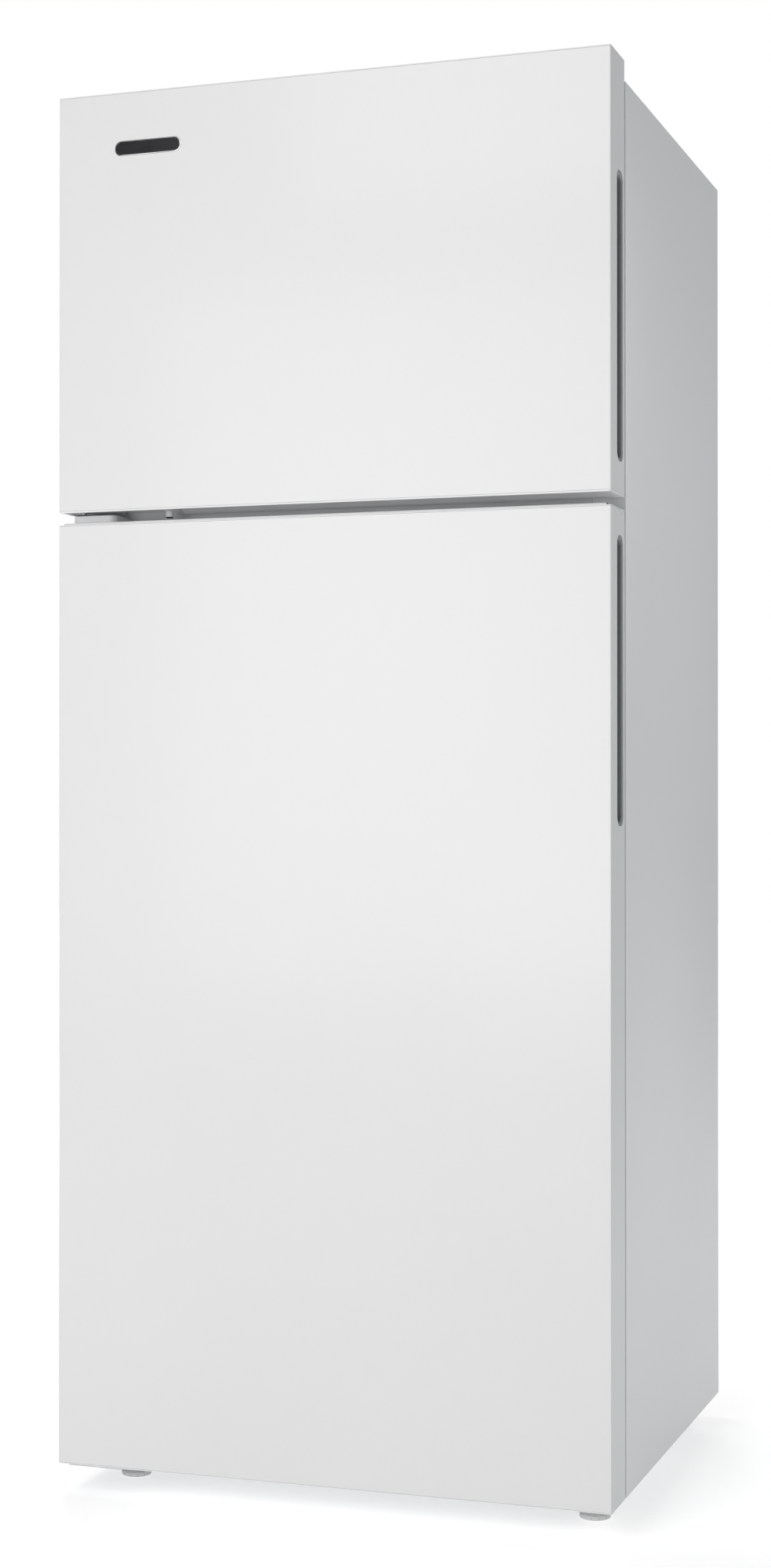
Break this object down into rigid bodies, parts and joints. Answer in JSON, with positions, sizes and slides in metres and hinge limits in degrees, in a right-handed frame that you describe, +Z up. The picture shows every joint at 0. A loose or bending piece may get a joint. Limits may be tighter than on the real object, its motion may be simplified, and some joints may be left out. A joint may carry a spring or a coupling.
{
  "type": "top-freezer refrigerator",
  "caption": "White upright refrigerator with a small freezer door above a tall fresh-food door, both hinged on the left with grip slots along their right edges.",
  "frame": {"origin": "middle of the footprint, on the floor", "axes": "+Z up, +X to the right seen from the front, doors face -Y"},
  "size_m": [0.699, 0.65, 1.725],
  "materials": {
    "white_paint": "satin",
    "galvanised": "satin",
    "door_plastic": "satin",
    "liner_plastic": "satin",
    "gasket": "matte",
    "grip_plastic": "matte",
    "foam": "matte",
    "black_steel": "satin",
    "black_plastic": "matte",
    "aluminium_fins": "satin",
    "clear_plastic": "gloss",
    "shelf_glass": "gloss",
    "frosted_plastic": "satin"
  },
  "bodies": {
    "cabinet": {"cabinet_wrap": "white_paint", "back_panel": "galvanised", "cabinet_foam": "foam", "fridge_liner": "liner_plastic", "freezer_liner": "liner_plastic", "centre_rail": "white_paint", "base_deck": "galvanised", "compressor_plate": "galvanised", "compressor": "black_steel", "evaporating_tray": "door_plastic", "machine_cover": "grip_plastic", "top_hinge": "galvanised", "top_hinge_cover": "door_plastic", "mid_hinge": "door_plastic", "bottom_hinge": "galvanised", "evaporator": "aluminium_fins", "evaporator_cover": "liner_plastic", "fan_motor": "black_plastic", "freezer_shelf": "shelf_glass", "ice_maker_frame": "liner_plastic", "duct_panel": "liner_plastic", "control_housing": "liner_plastic", "fridge_shelf_upper": "shelf_glass", "fridge_shelf_middle": "shelf_glass", "fridge_shelf_lower": "shelf_glass", "crisper_cover": "shelf_glass"},
    "freezer_door": {"freezer_door_skin": "white_paint", "freezer_door_foam": "foam", "freezer_door_grip": "grip_plastic", "freezer_door_liner": "liner_plastic", "freezer_door_gasket": "gasket", "freezer_door_badge": "black_plastic", "freezer_door_top_cap": "door_plastic", "freezer_door_bottom_cap": "door_plastic", "freezer_bin_upper": "clear_plastic", "freezer_bin_lower": "clear_plastic"},
    "fridge_door": {"fridge_door_skin": "white_paint", "fridge_door_foam": "foam", "fridge_door_grip": "grip_plastic", "fridge_door_liner": "liner_plastic", "fridge_door_gasket": "gasket", "fridge_door_top_cap": "door_plastic", "fridge_door_bottom_cap": "door_plastic", "middle_bin": "clear_plastic", "bottle_bin": "clear_plastic", "dairy_box": "clear_plastic"},
    "dairy_lid": {"dairy_lid": "frosted_plastic"},
    "crisper_drawer": {"crisper_drawer": "clear_plastic"},
    "deli_drawer": {"deli_drawer": "clear_plastic"},
    "ice_bin": {"ice_bin": "frosted_plastic"},
    "ice_tray_left": {"ice_tray_left": "frosted_plastic"},
    "ice_tray_right": {"ice_tray_right": "frosted_plastic"},
    "fan_blade": {"fan_blade": "door_plastic"},
    "door_switch_plunger": {"door_switch_plunger": "door_plastic"},
    "temperature_knob": {"temperature_knob": "door_plastic"},
    "humidity_slider": {"humidity_slider": "door_plastic"},
    "levelling_foot_left": {"levelling_foot_left": "door_plastic"},
    "levelling_foot_right": {"levelling_foot_right": "door_plastic"},
    "rear_roller_left": {"rear_roller_left": "black_plastic"},
    "rear_roller_right": {"rear_roller_right": "black_plastic"}
  },
  "joints": [
    {"name": "freezer_door_hinge", "type": "hinge", "parent": "cabinet", "child": "freezer_door", "pos_m": [-0.3315, -0.292, 1.46], "axis": [0, 0, -1], "range_deg": [0, 120]},
    {"name": "fridge_door_hinge", "type": "hinge", "parent": "cabinet", "child": "fridge_door", "pos_m": [-0.3315, -0.292, 0.6], "axis": [0, 0, -1], "range_deg": [0, 120]},
    {"name": "crisper_slide", "type": "slide", "parent": "cabinet", "child": "crisper_drawer", "axis": [0, -1, 0], "range_m": [0, 0.152]},
    {"name": "deli_slide", "type": "slide", "parent": "cabinet", "child": "deli_drawer", "axis": [0, -1, 0], "range_m": [0, 0.221]},
    {"name": "ice_bin_slide", "type": "slide", "parent": "cabinet", "child": "ice_bin", "axis": [0, -1, 0], "range_m": [0, 0.182]},
    {"name": "door_switch_slide", "type": "slide", "parent": "cabinet", "child": "door_switch_plunger", "axis": [0, -1, 0], "range_m": [0, 0.0055]},
    {"name": "dairy_lid_hinge", "type": "hinge", "parent": "fridge_door", "child": "dairy_lid", "pos_m": [0, -0.2465, 1.028], "axis": [1, 0, 0], "range_deg": [0, 90]},
    {"name": "ice_tray_left_twist", "type": "hinge", "parent": "cabinet", "child": "ice_tray_left", "pos_m": [-0.233, 0, 1.583], "axis": [0, 1, 0], "range_deg": [0, 150], "stiffness_Nm_per_rad": 0.25},
    {"name": "ice_tray_right_twist", "type": "hinge", "parent": "cabinet", "child": "ice_tray_right", "pos_m": [-0.137, 0, 1.583], "axis": [0, 1, 0], "range_deg": [0, 150], "stiffness_Nm_per_rad": 0.25},
    {"name": "fan_spin", "type": "hinge", "parent": "cabinet", "child": "fan_blade", "pos_m": [0, 0.18, 1.55], "axis": [0, 1, 0], "continuous": true},
    {"name": "temperature_knob_turn", "type": "hinge", "parent": "cabinet", "child": "temperature_knob", "pos_m": [0.092, -0.15, 1.155], "axis": [0, 1, 0], "range_deg": [0, 270]},
    {"name": "humidity_slide", "type": "slide", "parent": "cabinet", "child": "humidity_slider", "axis": [1, 0, 0], "range_m": [0, 0.04]},
    {"name": "foot_left_screw", "type": "slide", "parent": "cabinet", "child": "levelling_foot_left", "axis": [0, 0, 1], "range_m": [0, 0.01]},
    {"name": "foot_right_screw", "type": "slide", "parent": "cabinet", "child": "levelling_foot_right", "axis": [0, 0, 1], "range_m": [0, 0.01]},
    {"name": "roller_left_spin", "type": "hinge", "parent": "cabinet", "child": "rear_roller_left", "pos_m": [-0.3, 0.262, 0.0175], "axis": [1, 0, 0], "continuous": true},
    {"name": "roller_right_spin", "type": "hinge", "parent": "cabinet", "child": "rear_roller_right", "pos_m": [0.3, 0.262, 0.0175], "axis": [1, 0, 0], "continuous": true}
  ],
  "couplings": [
    {"joint": "crisper_slide", "follows": "fridge_door_hinge", "m_per_rad": 0.072},
    {"joint": "deli_slide", "follows": "fridge_door_hinge", "m_per_rad": 0.105},
    {"joint": "door_switch_slide", "follows": "fridge_door_hinge", "m_per_rad": 0.0026},
    {"joint": "ice_bin_slide", "follows": "freezer_door_hinge", "m_per_rad": 0.086}
  ]
}
